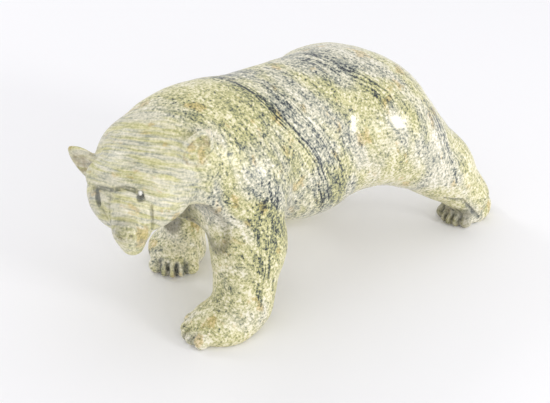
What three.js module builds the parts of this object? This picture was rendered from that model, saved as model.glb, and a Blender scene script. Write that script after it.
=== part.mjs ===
// A walking polar bear with its head turned to its left, carved from one block of soapstone.
// Millimetres, +Z up. The bear faces -Y and its left side is +X.
// The origin is the middle of the base of the carving's box.
// The form is one field of distances: rounded masses that melt into each other.
// Its surface is netted, thinned where it is smooth, and closed as a single solid.

import * as THREE from 'three';

// Driving dimensions of the stone
const STONE_COLOUR = 0xc4bf93;
const STONE_ROUGHNESS = 0.35;
const FLOOR = 0;

// Trunk, measured from its middle line, from the tops of the forelegs and from the floor
const TRUNK = {
  chest: { centre: [0, 12, 91.5], radius: 39.5 },
  loin: { centre: [0, 76, 88], radius: 37.5 },
  shoulders: { centre: [-1, -10, 98], radii: [36, 35, 37], yaw: 8, blend: 14 },
  belly: { centre: [4, 59, 68.5], radii: [38, 49, 33.5], yaw: 0, blend: 14 },
  hips: { centre: [0, 100, 83], radii: [36.5, 37, 36.5], yaw: 0, blend: 16 },
};

// The head has a frame of its own between the ears: yaw to the bear's left, nose down, left ear up
const HEAD = {
  place: [5, -57.5, 117.3],
  yaw: 40,
  pitch: 7.5,
  roll: -13,
  blend: 4,
  skull: { centre: [-0.1, -2, -17], radii: [29.1, 31, 22.5] },
  cheeks: { centre: [2.6, -9, -21], radii: [20.6, 22.5, 13.5], blend: 7 },
  muzzle: { back: [-1.5, -18, -13.5], backRadius: 13, tip: [1.4, -38.5, -17.8], tipRadius: 9.3, blend: 1.6 },
  nose: { centre: [2, -45.3, -13.8], radii: [6.2, 4, 4.6], blend: 1.6 },
  jaw: { back: [0, -18, -24], backRadius: 10, chin: [-0.3, -38.8, -28], chinRadius: 4.8, blend: 8 },
  brow: { centre: [-3, -11, -0.8], radii: [21, 14.5, 4.6], pitch: 14, blend: 2 },
};

// What the carver took away under the head: below the jaw, and from the throat behind it
const UNDER_JAW = { centre: [0, -11, -50], radii: [41, 31, 28], roll: 6, edge: 3 };
const THROAT = { centre: [0, -12.5, -51.5], radii: [40, 30, 28], roll: 6, edge: 4 };

const NECK = { withers: [1, -28, 101], withersRadius: 34.5, nape: [0, 14, -18], napeRadius: 29, blend: 12 };

// Eye sockets lie under the brow, to each side of a middle that the carver set a little to the right
const EYE = { middle: -4.3, spread: 12.4, depth: -28, height: -7, radii: [2.6, 4, 4.2], lean: 12, blend: 1 };

// An ear is a leaf that leans outward and is hollowed in front; the left one lies closer to the neck
const EAR = { halfWidth: 15.5, thickness: 4.2, halfHeight: 20, pinch: 5, splay: 25, edge: 1, blend: 4 };
const EAR_HOLLOW = { centre: [0, -4.4, 1], radii: [8.6, 3.8, 14.5] };
const EARS = [
  { side: -1, centre: [-25, 3, -9], lean: -48, scale: 1 },
  { side: 1, centre: [26, 8, -6], lean: 48, scale: 0.85 },
];

// Each leg runs from the trunk over its middle joint to the ankle, and ends in a paw
const LEGS = {
  leftFore: {
    joints: [[23, 0, 88], [32, -3, 50], [35, -10, 16]],
    radii: [25, 19.5, 17],
    blends: [11, 8],
    paw: { at: [32, -25], yaw: -24, length: 44, width: 34, height: 20, blend: 7 },
  },
  rightFore: {
    joints: [[-27, 2, 88], [-39, 8, 50], [-41, 9, 18]],
    radii: [23, 15, 13],
    blends: [11, 8],
    paw: { at: [-39.8, 2.2], yaw: 43, length: 43, width: 35, height: 20, blend: 5 },
  },
  leftHind: {
    joints: [[20.5, 106, 79.5], [39, 144, 44], [48, 163, 19]],
    radii: [34, 18.2, 13],
    blends: [16, 10],
    paw: { at: [43, 167], yaw: 4, length: 36, width: 30, height: 17, blend: 3 },
  },
  rightHind: {
    joints: [[-21, 98, 78], [-35, 96, 40], [-39, 102, 18]],
    radii: [33, 20, 14],
    blends: [16, 10],
    paw: { at: [-39, 86], yaw: 0, length: 44, width: 32, height: 18, blend: 5 },
  },
};

// A paw is a low pad with five toes side by side, as shares of the paw's own length, width and height
const PAD = { back: 0.06, rise: 0.36, halfWidth: 0.5, halfLength: 0.44, halfHeight: 0.64 };
const TOE = {
  outermost: 2,
  pitch: 0.148,
  radius: 0.125,
  tipSwell: 1.06,
  tipRise: 0.95,
  knuckleBack: 0.12,
  knuckleRise: 0.55,
  knuckleFall: 0.05,
  knuckleGather: 0.8,
  shortening: 0.05,
  groove: 0.8,
  blend: 3,
};

// How finely the field is netted, and how many faces are left after thinning
const GRID_STEP = 1.8;
const GRID_FROM = [-66, -100, FLOOR - 1.5 * GRID_STEP];
const GRID_TO = [70, 194, 146];
const FACE_TARGET = 8400;
const SOLE_WEIGHT = 400;
const EVENNESS = 2e-4;
const MIN_FACING = 0.25;
const SNAP_TO_FLOOR = 0.05;
const LONGEST_STRAY = 2;
const LEAST_SPREAD = 1e-5;
const NEARLY_ZERO = 1e-9;

// Turns a local frame: roll about the length, then pitch about the width, then yaw about the height.
function turn(yaw = 0, pitch = 0, roll = 0) {
  const euler = new THREE.Euler(
    THREE.MathUtils.degToRad(pitch), THREE.MathUtils.degToRad(roll), THREE.MathUtils.degToRad(yaw), 'ZXY');
  return new THREE.Matrix3().setFromMatrix4(new THREE.Matrix4().makeRotationFromEuler(euler)).elements;
}

// Reads a point in a local frame and passes it on to a field that is written there.
function inFrame(origin, axes, scale, field) {
  const [ox, oy, oz] = origin;
  return (x, y, z) => {
    const dx = (x - ox) / scale;
    const dy = (y - oy) / scale;
    const dz = (z - oz) / scale;
    return scale * field(
      axes[0] * dx + axes[1] * dy + axes[2] * dz,
      axes[3] * dx + axes[4] * dy + axes[5] * dz,
      axes[6] * dx + axes[7] * dy + axes[8] * dz);
  };
}

// Near distance to an ellipsoid.
function ellipsoid(centre, radii, axes = turn()) {
  const [rx, ry, rz] = radii;
  return inFrame(centre, axes, 1, (x, y, z) => {
    const near = Math.hypot(x / rx, y / ry, z / rz);
    const slope = Math.hypot(x / (rx * rx), y / (ry * ry), z / (rz * rz));
    return near * (near - 1) / Math.max(slope, NEARLY_ZERO);
  });
}

// Distance to a rod with round ends whose radius runs evenly from one end to the other.
function taperedRod(from, to, fromRadius, toRadius) {
  const along = to.map((value, axis) => value - from[axis]);
  const lengthSquared = along.reduce((sum, value) => sum + value * value, 0);
  const taper = fromRadius - toRadius;
  const flank = lengthSquared - taper * taper;
  return (x, y, z) => {
    const dx = x - from[0];
    const dy = y - from[1];
    const dz = z - from[2];
    const run = dx * along[0] + dy * along[1] + dz * along[2];
    const rest = run - lengthSquared;
    const sideX = dx * lengthSquared - along[0] * run;
    const sideY = dy * lengthSquared - along[1] * run;
    const sideZ = dz * lengthSquared - along[2] * run;
    const side = sideX * sideX + sideY * sideY + sideZ * sideZ;
    const startTerm = run * run * lengthSquared;
    const endTerm = rest * rest * lengthSquared;
    const bias = Math.sign(taper) * taper * taper * side;
    if (Math.sign(rest) * flank * endTerm > bias) {
      return Math.sqrt(side + endTerm) / lengthSquared - toRadius;
    }
    if (Math.sign(run) * flank * startTerm < bias) {
      return Math.sqrt(side + startTerm) / lengthSquared - fromRadius;
    }
    return (Math.sqrt(side * flank / lengthSquared) + run * taper) / lengthSquared - fromRadius;
  };
}

// Joins two distances so that the masses melt into each other over the blend's width.
function join(a, b, blend) {
  const overlap = Math.max(blend - Math.abs(a - b), 0) / blend;
  return Math.min(a, b) - overlap * overlap * blend / 4;
}

// Cuts the second mass out of the first and rounds the edge over the blend's width.
function cut(a, b, blend) {
  return -join(-a, b, blend);
}

// One paw: the pad, and the toes that fan over its front with a groove between each pair.
function makePaw(paw) {
  const pad = ellipsoid(
    [0, paw.length * PAD.back, paw.height * PAD.rise],
    [paw.width * PAD.halfWidth, paw.length * PAD.halfLength, paw.height * PAD.halfHeight]);
  const radius = paw.width * TOE.radius;
  const toes = [];
  for (let i = -TOE.outermost; i <= TOE.outermost; i += 1) {
    const side = i * paw.width * TOE.pitch;
    const reach = paw.length / 2 * (1 - TOE.shortening * i * i);
    const knuckleHeight = paw.height * (TOE.knuckleRise - TOE.knuckleFall * Math.abs(i));
    toes.push(taperedRod(
      [side * TOE.knuckleGather, -paw.length * TOE.knuckleBack, knuckleHeight],
      [side, radius - reach, radius * TOE.tipRise],
      radius, radius * TOE.tipSwell));
  }
  const form = (x, y, z) => {
    let row = toes[0](x, y, z);
    for (let i = 1; i < toes.length; i += 1) {
      row = join(row, toes[i](x, y, z), TOE.groove);
    }
    return join(pad(x, y, z), row, TOE.blend);
  };
  return inFrame([paw.at[0], paw.at[1], FLOOR], turn(paw.yaw), 1, form);
}

// One leg as the list of its masses, each with the blend that joins it to what is above it.
function makeLeg(leg) {
  const [top, middle, ankle] = leg.joints;
  return [
    { mass: taperedRod(top, middle, leg.radii[0], leg.radii[1]), blend: leg.blends[0] },
    { mass: taperedRod(middle, ankle, leg.radii[1], leg.radii[2]), blend: leg.blends[1] },
    { mass: makePaw(leg.paw), blend: leg.paw.blend },
  ];
}

// One ear: two leaves that cross, which gives the rim its point, less the hollow in front.
function makeEar(ear) {
  const radii = [EAR.halfWidth, EAR.thickness, EAR.halfHeight];
  const outer = ellipsoid([-EAR.pinch, 0, 0], radii);
  const inner = ellipsoid([EAR.pinch, 0, 0], radii);
  const hollow = ellipsoid(EAR_HOLLOW.centre, EAR_HOLLOW.radii);
  const form = (x, y, z) => {
    const leaf = -join(-outer(x, y, z), -inner(x, y, z), EAR.edge);
    return cut(leaf, hollow(x, y, z), EAR.edge);
  };
  return inFrame(ear.centre, turn(ear.side * EAR.splay, 0, ear.lean), ear.scale, form);
}

// The head: skull and cheeks cut off below the jaw, the muzzle, nose, chin and brow, with the eye
// sockets cut and the ears set on.
function makeHead() {
  const { skull, cheeks, muzzle, nose, jaw, brow } = HEAD;
  const skullMass = ellipsoid(skull.centre, skull.radii);
  const cheekMass = ellipsoid(cheeks.centre, cheeks.radii);
  const underJaw = ellipsoid(UNDER_JAW.centre, UNDER_JAW.radii, turn(0, 0, UNDER_JAW.roll));
  const muzzleMass = taperedRod(muzzle.back, muzzle.tip, muzzle.backRadius, muzzle.tipRadius);
  const noseMass = ellipsoid(nose.centre, nose.radii);
  const jawMass = taperedRod(jaw.back, jaw.chin, jaw.backRadius, jaw.chinRadius);
  const browMass = ellipsoid(brow.centre, brow.radii, turn(0, brow.pitch));
  const sockets = [-1, 1].map((side) => ellipsoid(
    [EYE.middle + side * EYE.spread, EYE.depth, EYE.height], EYE.radii, turn(0, 0, side * EYE.lean)));
  const ears = EARS.map(makeEar);
  const form = (x, y, z) => {
    let distance = join(skullMass(x, y, z), cheekMass(x, y, z), cheeks.blend);
    distance = cut(distance, underJaw(x, y, z), UNDER_JAW.edge);
    const snout = join(muzzleMass(x, y, z), noseMass(x, y, z), nose.blend);
    distance = join(distance, join(snout, jawMass(x, y, z), jaw.blend), muzzle.blend);
    distance = join(distance, browMass(x, y, z), brow.blend);
    for (const socket of sockets) {
      distance = cut(distance, socket(x, y, z), EYE.blend);
    }
    for (const ear of ears) {
      distance = join(distance, ear(x, y, z), EAR.blend);
    }
    return distance;
  };
  return inHeadFrame(form);
}

// Reads a field in the head's own frame.
function inHeadFrame(field) {
  return inFrame(HEAD.place, turn(HEAD.yaw, HEAD.pitch, HEAD.roll), 1, field);
}

// The nape of the neck, which is given in the head's frame, as a point of the bear's own frame.
function napePoint() {
  const axes = new THREE.Matrix3().fromArray(turn(HEAD.yaw, HEAD.pitch, HEAD.roll));
  const nape = new THREE.Vector3(...NECK.nape).applyMatrix3(axes);
  return nape.add(new THREE.Vector3(...HEAD.place)).toArray();
}

// The whole bear: trunk and neck, the hollow of the throat cut out of them, then the head and the
// legs, each mass melting into the ones before it.
function makeBear() {
  const { chest, loin, shoulders, belly, hips } = TRUNK;
  const barrel = taperedRod(chest.centre, loin.centre, chest.radius, loin.radius);
  const masses = [shoulders, belly, hips].map((form) => (
    { mass: ellipsoid(form.centre, form.radii, turn(form.yaw)), blend: form.blend }));
  masses.push({
    mass: taperedRod(NECK.withers, napePoint(), NECK.withersRadius, NECK.napeRadius),
    blend: NECK.blend,
  });
  const throat = inHeadFrame(ellipsoid(THROAT.centre, THROAT.radii, turn(0, 0, THROAT.roll)));
  masses.push({ mass: throat, blend: THROAT.edge, cuts: true });
  masses.push({ mass: makeHead(), blend: HEAD.blend });
  for (const leg of Object.values(LEGS)) {
    masses.push(...makeLeg(leg));
  }
  return (x, y, z) => {
    let distance = barrel(x, y, z);
    for (const { mass, blend, cuts } of masses) {
      distance = (cuts ? cut : join)(distance, mass(x, y, z), blend);
    }
    return Math.max(distance, FLOOR - z);
  };
}

// Nets the zero level of a field: one point in each cell that it passes through, and one
// four-sided face, as two triangles, across each grid edge that it crosses.
function netSurface(field, from, to, step) {
  const counts = from.map((value, axis) => Math.ceil((to[axis] - value) / step) + 1);
  const strides = [1, counts[0], counts[0] * counts[1]];
  const values = new Float64Array(counts[0] * counts[1] * counts[2]);
  for (let k = 0, at = 0; k < counts[2]; k += 1) {
    for (let j = 0; j < counts[1]; j += 1) {
      for (let i = 0; i < counts[0]; i += 1, at += 1) {
        values[at] = field(from[0] + i * step, from[1] + j * step, from[2] + k * step);
      }
    }
  }
  const cellPoint = new Int32Array(values.length).fill(-1);
  const points = [];
  const faces = [];
  const corner = [0, 0, 0];
  for (corner[2] = 0; corner[2] < counts[2] - 1; corner[2] += 1) {
    for (corner[1] = 0; corner[1] < counts[1] - 1; corner[1] += 1) {
      for (corner[0] = 0; corner[0] < counts[0] - 1; corner[0] += 1) {
        const at = corner[0] + corner[1] * strides[1] + corner[2] * strides[2];
        const crossing = meanCrossing(values, at, strides);
        if (!crossing) {
          continue;
        }
        cellPoint[at] = points.length / 3;
        points.push(...crossing.map((value, axis) => from[axis] + (corner[axis] + value) * step));
        for (let axis = 0; axis < 3; axis += 1) {
          const back = strides[(axis + 1) % 3];
          const down = strides[(axis + 2) % 3];
          const inside = values[at] < 0;
          if (inside === (values[at + strides[axis]] < 0)) {
            continue;
          }
          const [a, b, c, d] = [at, at - back, at - back - down, at - down].map((cell) => cellPoint[cell]);
          faces.push(...(inside ? [a, b, c, a, c, d] : [a, c, b, a, d, c]));
        }
      }
    }
  }
  return { points, faces };
}

// The mean of the places, within one cell, where the field changes sign along the cell's edges.
function meanCrossing(values, at, strides) {
  const sum = [0, 0, 0];
  let count = 0;
  for (let axis = 0; axis < 3; axis += 1) {
    const second = (axis + 1) % 3;
    const third = (axis + 2) % 3;
    for (let edge = 0; edge < 4; edge += 1) {
      const u = edge & 1;
      const v = edge >> 1;
      const start = at + u * strides[second] + v * strides[third];
      const a = values[start];
      const b = values[start + strides[axis]];
      if ((a < 0) !== (b < 0)) {
        sum[axis] += a / (a - b);
        sum[second] += u;
        sum[third] += v;
        count += 1;
      }
    }
  }
  return count ? sum.map((value) => value / count) : null;
}

// A heap of edges, cheapest first.
class EdgeHeap {
  constructor() {
    this.items = [];
  }

  push(item) {
    const { items } = this;
    let at = items.push(item) - 1;
    while (at > 0) {
      const parent = (at - 1) >> 1;
      if (items[parent].cost <= item.cost) {
        break;
      }
      items[at] = items[parent];
      at = parent;
    }
    items[at] = item;
  }

  pop() {
    const { items } = this;
    const top = items[0];
    const last = items.pop();
    if (!items.length) {
      return top;
    }
    let at = 0;
    for (;;) {
      let child = 2 * at + 1;
      if (child >= items.length) {
        break;
      }
      if (child + 1 < items.length && items[child + 1].cost < items[child].cost) {
        child += 1;
      }
      if (items[child].cost >= last.cost) {
        break;
      }
      items[at] = items[child];
      at = child;
    }
    items[at] = last;
    return top;
  }
}

// Thins a closed net. It keeps, for each point, the sum of squared distances to the planes of the
// faces that it stands for, and closes the edge whose closing moves the surface least.
class Thinner {
  constructor(points, faces) {
    this.places = [];
    for (let i = 0; i < points.length; i += 3) {
      this.places.push(new THREE.Vector3(points[i], points[i + 1], points[i + 2]));
    }
    this.faces = [];
    this.around = this.places.map(() => new Set());
    this.errors = this.places.map(() => new Float64Array(10));
    this.stamps = new Uint32Array(this.places.length);
    this.count = faces.length / 3;
    for (let i = 0; i < faces.length; i += 3) {
      this.addFace([faces[i], faces[i + 1], faces[i + 2]]);
    }
    this.heap = new EdgeHeap();
  }

  // Files one face and adds its plane to its three corners; the soles' faces weigh more.
  addFace(face) {
    const id = this.faces.push(face) - 1;
    const [a, b, c] = face.map((corner) => this.places[corner]);
    const normal = faceNormal(a, b, c);
    const onFloor = Math.max(a.z, b.z, c.z) < FLOOR + SNAP_TO_FLOOR;
    const weight = normal.length() / 2 * (onFloor ? SOLE_WEIGHT : 1);
    normal.normalize();
    const plane = [normal.x, normal.y, normal.z, -normal.dot(a)];
    for (const corner of face) {
      this.around[corner].add(id);
      const error = this.errors[corner];
      for (let i = 0, at = 0; i < 4; i += 1) {
        for (let j = i; j < 4; j += 1, at += 1) {
          error[at] += weight * plane[i] * plane[j];
        }
      }
    }
  }

  neighbours(point) {
    const found = new Set();
    for (const id of this.around[point]) {
      this.faces[id].forEach((corner) => found.add(corner));
    }
    found.delete(point);
    return found;
  }

  // Puts one edge on the heap with the place that its closing would leave and what that costs.
  offer(a, b) {
    const error = this.errors[a].map((value, at) => value + this.errors[b][at]);
    const place = bestPlace(error) ?? this.places[a].clone().add(this.places[b]).multiplyScalar(0.5);
    const length = this.places[a].distanceToSquared(this.places[b]);
    if (place.distanceToSquared(this.places[a]) > LONGEST_STRAY ** 2 * length) {
      place.copy(this.places[a]).add(this.places[b]).multiplyScalar(0.5);
    }
    const cost = errorAt(error, place) + EVENNESS * length * length;
    this.heap.push({ cost, a, b, place, stampA: this.stamps[a], stampB: this.stamps[b] });
  }

  // Whether moving a point would turn over, or nearly flatten, a face that stays.
  foldsOver(point, other, place) {
    for (const id of this.around[point]) {
      const face = this.faces[id];
      if (face.includes(other)) {
        continue;
      }
      const before = face.map((corner) => this.places[corner]);
      const after = face.map((corner) => (corner === point ? place : this.places[corner]));
      const was = faceNormal(...before);
      const is = faceNormal(...after);
      if (is.dot(was) <= MIN_FACING * is.length() * was.length()) {
        return true;
      }
    }
    return false;
  }

  // Closes one edge if that keeps the net closed and unfolded, and offers the edges around it anew.
  close({ a, b, place, stampA, stampB }) {
    if (this.stamps[a] !== stampA || this.stamps[b] !== stampB) {
      return;
    }
    const nearB = this.neighbours(b);
    const shared = [...this.neighbours(a)].filter((point) => nearB.has(point));
    if (shared.length !== 2 || this.foldsOver(a, b, place) || this.foldsOver(b, a, place)) {
      return;
    }
    this.places[a] = place;
    this.errors[b].forEach((value, at) => { this.errors[a][at] += value; });
    for (const id of this.around[b]) {
      const face = this.faces[id];
      if (face.includes(a)) {
        face.forEach((corner) => corner !== b && this.around[corner].delete(id));
        this.faces[id] = null;
        this.count -= 1;
      } else {
        face[face.indexOf(b)] = a;
        this.around[a].add(id);
      }
    }
    this.around[b].clear();
    this.stamps[a] += 1;
    this.stamps[b] += 1;
    this.neighbours(a).forEach((point) => this.offer(a, point));
  }

  thin(target) {
    this.places.forEach((_, point) => this.neighbours(point).forEach((other) => {
      if (point < other) {
        this.offer(point, other);
      }
    }));
    while (this.count > target && this.heap.items.length) {
      this.close(this.heap.pop());
    }
  }

  // The faces that are left, as a geometry whose points on the floor lie on it exactly.
  toGeometry() {
    const order = new Map();
    const positions = [];
    const indices = [];
    for (const face of this.faces.filter((item) => item)) {
      for (const corner of face) {
        if (!order.has(corner)) {
          order.set(corner, order.size);
          const { x, y, z } = this.places[corner];
          positions.push(x, y, z < FLOOR + SNAP_TO_FLOOR ? FLOOR : z);
        }
        indices.push(order.get(corner));
      }
    }
    const geometry = new THREE.BufferGeometry();
    geometry.setAttribute('position', new THREE.Float32BufferAttribute(positions, 3));
    geometry.setIndex(indices);
    return geometry;
  }
}

// The normal of a face, as long as twice its area.
function faceNormal(a, b, c) {
  return b.clone().sub(a).cross(c.clone().sub(a));
}

// The summed squared distance of a place to the planes behind an error.
function errorAt(error, { x, y, z }) {
  const [xx, xy, xz, xw, yy, yz, yw, zz, zw, ww] = error;
  return xx * x * x + yy * y * y + zz * z * z + ww
    + 2 * (xy * x * y + xz * x * z + yz * y * z + xw * x + yw * y + zw * z);
}

// The place with the least error, or null where the planes don't settle it.
function bestPlace(error) {
  const [xx, xy, xz, xw, yy, yz, yw, zz, zw] = error;
  const matrix = new THREE.Matrix3().set(xx, xy, xz, xy, yy, yz, xz, yz, zz);
  const size = (xx + yy + zz) / 3;
  if (Math.abs(matrix.determinant()) < LEAST_SPREAD * size ** 3) {
    return null;
  }
  return new THREE.Vector3(-xw, -yw, -zw).applyMatrix3(matrix.invert());
}

// The carving: its geometry is moved so that the origin is the middle of the base of its box.
function makeCarving() {
  const net = netSurface(makeBear(), GRID_FROM, GRID_TO, GRID_STEP);
  const thinner = new Thinner(net.points, net.faces);
  thinner.thin(FACE_TARGET);
  const geometry = thinner.toGeometry();
  geometry.computeBoundingBox();
  const middle = geometry.boundingBox.getCenter(new THREE.Vector3());
  geometry.translate(-middle.x, -middle.y, 0);
  const stone = new THREE.MeshStandardMaterial({
    color: STONE_COLOUR,
    roughness: STONE_ROUGHNESS,
    metalness: 0,
  });
  const carving = new THREE.Mesh(geometry, stone);
  carving.name = 'bear';
  return carving;
}

const part = new THREE.Group();
part.add(makeCarving());

export default part;
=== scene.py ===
"""Looks of a walking polar bear that is carved from one block of soapstone.

The carving's form is a field of distances in the carver's own frame, in millimetres: x from the
trunk's middle line, y from the tops of the forelegs and z from the floor. The bear faces -Y and its
left side is +X. The field is netted, made finer where the carving is fine, and set on the frame.
"""

import logging
import math
from dataclasses import dataclass, replace
from enum import Enum
from typing import Callable

import bpy
import numpy as np
from mathutils import Color, Matrix, Vector


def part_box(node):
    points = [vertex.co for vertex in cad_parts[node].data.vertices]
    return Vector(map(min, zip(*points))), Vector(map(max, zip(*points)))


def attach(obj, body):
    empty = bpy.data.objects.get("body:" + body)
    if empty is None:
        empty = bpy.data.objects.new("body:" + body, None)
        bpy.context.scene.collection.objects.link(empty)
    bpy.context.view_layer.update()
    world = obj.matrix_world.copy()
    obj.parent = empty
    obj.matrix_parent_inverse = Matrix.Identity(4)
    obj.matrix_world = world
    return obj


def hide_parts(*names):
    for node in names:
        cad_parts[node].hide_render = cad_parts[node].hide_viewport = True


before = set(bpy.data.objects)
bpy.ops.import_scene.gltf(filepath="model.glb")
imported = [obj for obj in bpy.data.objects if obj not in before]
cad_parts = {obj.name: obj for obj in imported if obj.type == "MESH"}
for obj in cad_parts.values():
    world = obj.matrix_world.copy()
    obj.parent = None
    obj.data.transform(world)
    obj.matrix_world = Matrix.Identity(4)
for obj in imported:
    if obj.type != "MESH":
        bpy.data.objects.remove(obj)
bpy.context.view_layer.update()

NODE = "bear"
BODY = "root"
FLOOR = 0.0
TINY = 1e-9
NOISE_MIDDLE = 0.5

Point = tuple[float, float, float]
Array = np.ndarray
Field = Callable[[Array], Array]
Socket = bpy.types.NodeSocket
Inputs = dict[str | int, object]
log = logging.getLogger("bear")


def turned(yaw: float = 0.0, pitch: float = 0.0, roll: float = 0.0) -> Array:
    """Gives the axes of a local frame, as columns.

    Args:
        yaw: Turn of the front to the bear's left, in degrees.
        pitch: Nod of the front downwards, in degrees.
        roll: Lean about the length, in degrees.

    Returns:
        A matrix of three rows and columns.
    """
    yaw_turn = Matrix.Rotation(math.radians(yaw), 3, "Z")
    pitch_turn = Matrix.Rotation(math.radians(pitch), 3, "X")
    roll_turn = Matrix.Rotation(math.radians(roll), 3, "Y")
    return np.array(yaw_turn @ pitch_turn @ roll_turn)


def join(first: Array, second: Array, blend: float) -> Array:
    """Joins two distances so that the masses melt into each other over the blend's width.

    Args:
        first: Distances to one mass.
        second: Distances to the other.
        blend: Width over which they melt, in millimetres.

    Returns:
        The distances to both masses together.
    """
    overlap = np.maximum(blend - np.abs(first - second), 0.0) / blend
    return np.minimum(first, second) - overlap * overlap * blend / 4.0


def cut(first: Array, second: Array, blend: float) -> Array:
    """Cuts the second mass out of the first and rounds the edge over the blend's width.

    Args:
        first: Distances to the stone.
        second: Distances to what is taken away.
        blend: Width of the rounded edge, in millimetres.

    Returns:
        The distances to what is left.
    """
    return -join(-first, second, blend)


def fading(distances: Array, soft: float) -> Array:
    """Gives 1 where a distance is nothing or less and 0 where it is more than the soft edge."""
    return np.clip(1.0 - distances / soft, 0.0, 1.0)


class Mass:
    """A mass of stone that knows how far points are from its surface."""

    def distance(self, points: Array) -> Array:
        """Gives the signed distance of each point, less than nothing inside."""
        raise NotImplementedError

    def ball(self) -> tuple[Array, float]:
        """Gives the centre and radius of a ball that holds the whole mass."""
        raise NotImplementedError


@dataclass(frozen=True)
class Egg(Mass):
    """An ellipsoid, with its yaw, pitch and roll in degrees."""

    centre: Point
    radii: Point
    turn: Point = (0.0, 0.0, 0.0)

    def distance(self, points: Array) -> Array:
        """Gives the near distance of each point.

        Args:
            points: Places, a row each.

        Returns:
            One signed distance a place, nearly the true one close to the surface.
        """
        local = (points - self.centre) @ turned(*self.turn)
        near = np.linalg.norm(local / self.radii, axis=1)
        slope = np.linalg.norm(local / np.square(self.radii), axis=1)
        return near * (near - 1.0) / np.maximum(slope, TINY)

    def ball(self) -> tuple[Array, float]:
        """Gives the ball round the longest radius."""
        return np.array(self.centre), max(self.radii)


@dataclass(frozen=True)
class Rod(Mass):
    """A rod with round ends whose radius runs evenly from one end to the other."""

    start: Point
    end: Point
    start_radius: float
    end_radius: float

    def distance(self, points: Array) -> Array:
        """Gives the distance of each point.

        Args:
            points: Places, a row each.

        Returns:
            One signed distance a place, less than nothing inside.
        """
        along = np.subtract(self.end, self.start)
        length_squared = float(along @ along)
        taper = self.start_radius - self.end_radius
        flank = length_squared - taper * taper
        from_start = points - self.start
        run = from_start @ along
        rest = run - length_squared
        side = np.square(from_start * length_squared - run[:, None] * along).sum(1)
        start_term = run * run * length_squared
        end_term = rest * rest * length_squared
        bias = math.copysign(taper * taper, taper) * side
        flat = (np.sqrt(side * flank / length_squared) + run * taper) / length_squared
        round_start = np.sqrt(side + start_term) / length_squared - self.start_radius
        round_end = np.sqrt(side + end_term) / length_squared - self.end_radius
        before = np.sign(run) * flank * start_term < bias
        beyond = np.sign(rest) * flank * end_term > bias
        return np.where(beyond, round_end, np.where(before, round_start, flat - self.start_radius))

    def ball(self) -> tuple[Array, float]:
        """Gives the ball round both ends."""
        half = float(np.linalg.norm(np.subtract(self.end, self.start))) / 2.0
        return np.add(self.start, self.end) / 2.0, half + max(self.start_radius, self.end_radius)


@dataclass(frozen=True)
class Chain(Mass):
    """Rods of one radius end to end, as a gouge or a knife would follow a line."""

    row: tuple[Point, ...]
    radius: float

    def distance(self, points: Array) -> Array:
        """Gives the distance of each point to the nearest rod.

        Args:
            points: Places, a row each.

        Returns:
            One signed distance a place, less than nothing inside.
        """
        nearest = np.full(len(points), np.inf)
        for start, end in zip(self.row[:-1], self.row[1:]):
            along = np.subtract(end, start)
            share = np.clip((points - start) @ along / (along @ along), 0.0, 1.0)
            away = np.linalg.norm(points - start - share[:, None] * along, axis=1)
            nearest = np.minimum(nearest, away)
        return nearest - self.radius

    def middles(self) -> list[Array]:
        """Gives the middle of each rod."""
        return [np.add(start, end) / 2.0 for start, end in zip(self.row[:-1], self.row[1:])]

    def ball(self) -> tuple[Array, float]:
        """Gives a ball round every rod.

        Returns:
            The ball's centre and radius.
        """
        row = np.array(self.row)
        middle = row.mean(axis=0)
        return middle, float(np.linalg.norm(row - middle, axis=1).max()) + self.radius


@dataclass(frozen=True)
class Placed(Mass):
    """A mass that is given in a frame of its own."""

    inner: Mass
    place: Point
    turn: Point

    def distance(self, points: Array) -> Array:
        """Gives the distance of each point, read in the mass's own frame."""
        return self.inner.distance((points - self.place) @ turned(*self.turn))

    def ball(self) -> tuple[Array, float]:
        """Gives the inner mass's ball, set in place."""
        centre, radius = self.inner.ball()
        return turned(*self.turn) @ centre + self.place, radius


class Work(Enum):
    """What a mass does to the stone before it."""

    ADD = "add"
    CUT = "cut"


@dataclass(frozen=True)
class Step:
    """One step of the carving: a mass that is added or cut away, and the width of its edge."""

    mass: Mass
    blend: float
    work: Work = Work.ADD
    ball_slack: float = 3.0

    def apply(self, stone: Array, points: Array) -> None:
        """Changes the stone's distances where the mass is near enough to matter.

        Args:
            stone: Distances so far, which are changed in place.
            points: Where they were taken.
        """
        centre, radius = self.mass.ball()
        gap = np.linalg.norm(points - centre, axis=1) - radius - self.ball_slack
        near = gap < (stone if self.work is Work.ADD else np.abs(stone)) + self.blend
        if near.any():
            change = join if self.work is Work.ADD else cut
            stone[near] = change(stone[near], self.mass.distance(points[near]), self.blend)


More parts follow.
